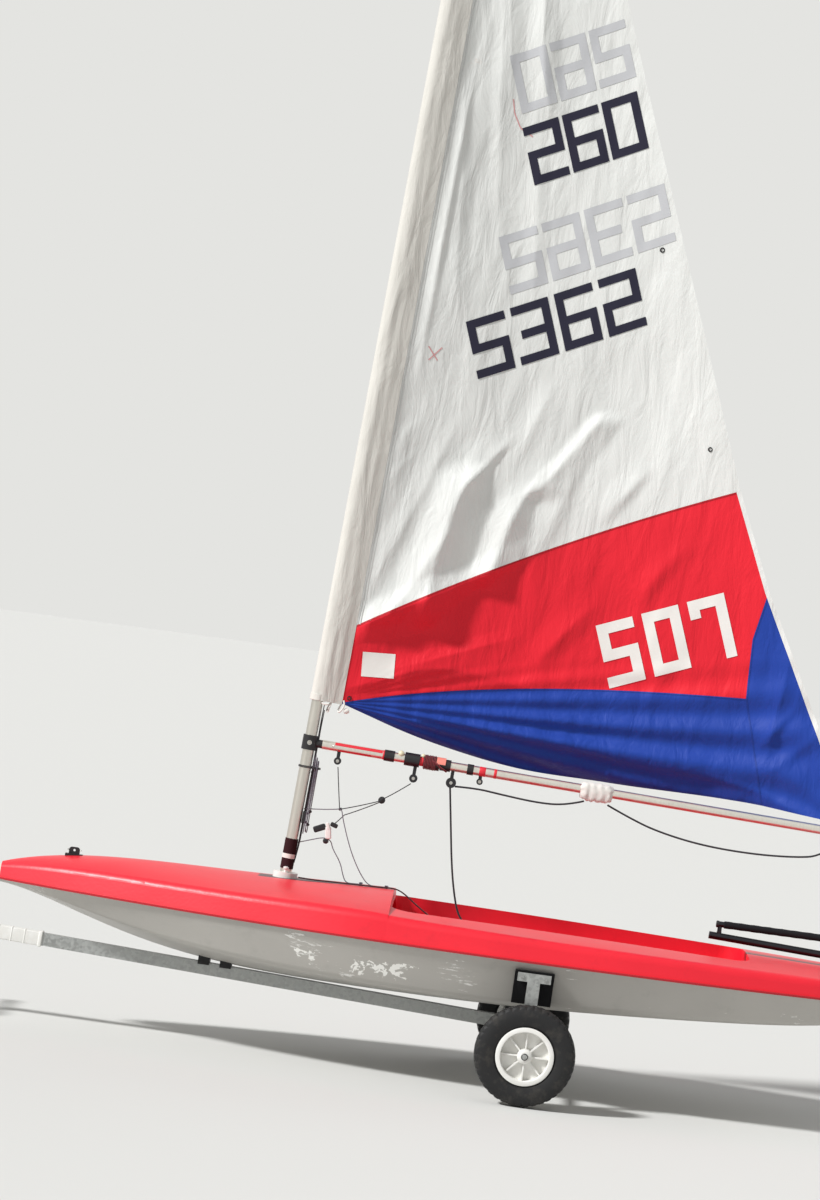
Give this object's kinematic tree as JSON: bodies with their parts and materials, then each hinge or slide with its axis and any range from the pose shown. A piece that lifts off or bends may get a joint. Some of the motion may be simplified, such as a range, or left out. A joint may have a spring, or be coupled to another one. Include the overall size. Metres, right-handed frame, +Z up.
{
  "type": "sailing dinghy",
  "caption": "Single-handed moulded sailing dinghy with sleeved sail, boom, rudder and tiller, standing rigged on its two-wheeled launching trolley.",
  "frame": {"origin": "on the floor, under the middle of the whole part's box", "axes": "+X aft towards the stern, +Y to starboard, +Z up; the bow points to -X"},
  "size_m": [4.369, 1.506, 5.986],
  "materials": {
    "hull_plastic": "satin",
    "deck_plastic": "satin",
    "black_plastic": "matte",
    "white_plastic": "satin",
    "spar_aluminium": "anodised",
    "trolley_steel": "galvanised",
    "stainless": "polished",
    "tyre_rubber": "matte",
    "pad_rubber": "matte",
    "webbing": "woven",
    "sailcloth_white": "woven",
    "sailcloth_red": "woven",
    "sailcloth_blue": "woven",
    "grip_foam": "matte"
  },
  "bodies": {
    "rig": {"mast_lower": "spar_aluminium", "mast_upper": "spar_aluminium", "masthead_cap": "black_plastic", "gooseneck": "black_plastic", "boom": "spar_aluminium", "boom_end_plug": "black_plastic", "boom_bands": "black_plastic", "boom_wrap": "white_plastic", "boom_blocks": "black_plastic", "mast_heel_wrap": "black_plastic", "luff_sleeve": "sailcloth_white", "sail_upper_panel": "sailcloth_white", "sail_red_panel": "sailcloth_red", "sail_foot_panel": "sailcloth_blue"},
    "rudder": {"rudder_stock": "black_plastic", "tiller": "grip_foam"},
    "blade": {"rudder_blade": "white_plastic"},
    "extension": {"tiller_extension": "grip_foam"},
    "port_wheel": {"tyre_port": "tyre_rubber", "wheel_rim_port": "white_plastic"},
    "starboard_wheel": {"tyre_starboard": "tyre_rubber", "wheel_rim_starboard": "white_plastic"},
    "boat": {"hull_moulding": "hull_plastic", "deck_moulding": "deck_plastic", "foredeck_arch": "deck_plastic", "cockpit_liner": "deck_plastic", "mast_gate": "white_plastic", "bow_fitting": "black_plastic", "daggerboard_case": "white_plastic", "mainsheet_floor_block": "black_plastic", "toe_strap": "webbing", "transom_gudgeons": "stainless", "drawbar": "trolley_steel", "axle": "trolley_steel", "side_pad_port": "pad_rubber", "cradle_post_port": "trolley_steel", "side_pad_starboard": "pad_rubber", "cradle_post_starboard": "trolley_steel", "keel_rests": "pad_rubber", "keel_chock": "pad_rubber", "handle_bar": "trolley_steel", "stand_leg": "trolley_steel"}
  },
  "joints": [
    {"name": "rig_turn", "type": "hinge", "parent": "boat", "child": "rig", "pos_m": [-0.7025, 0, 0.708], "axis": [0.0506, 0, 0.9987], "range_deg": [-90, 90]},
    {"name": "rudder_steer", "type": "hinge", "parent": "boat", "child": "rudder", "pos_m": [1.5935, 0, 0.55], "axis": [0, 0, 1], "range_deg": [-60, 60]},
    {"name": "rudder_blade_lift", "type": "hinge", "parent": "rudder", "child": "blade", "pos_m": [1.6845, 0, 0.48], "axis": [0, 1, 0], "range_deg": [0, 90]},
    {"name": "tiller_extension_swing", "type": "hinge", "parent": "rudder", "child": "extension", "pos_m": [1.0775, 0, 0.758], "axis": [0, 0, 1], "range_deg": [-160, 160]},
    {"name": "port_wheel_spin", "type": "hinge", "parent": "boat", "child": "port_wheel", "pos_m": [0.3475, -0.7, 0.2], "axis": [0, 1, 0], "continuous": true},
    {"name": "starboard_wheel_spin", "type": "hinge", "parent": "boat", "child": "starboard_wheel", "pos_m": [0.3475, 0.7, 0.2], "axis": [0, 1, 0], "continuous": true}
  ]
}
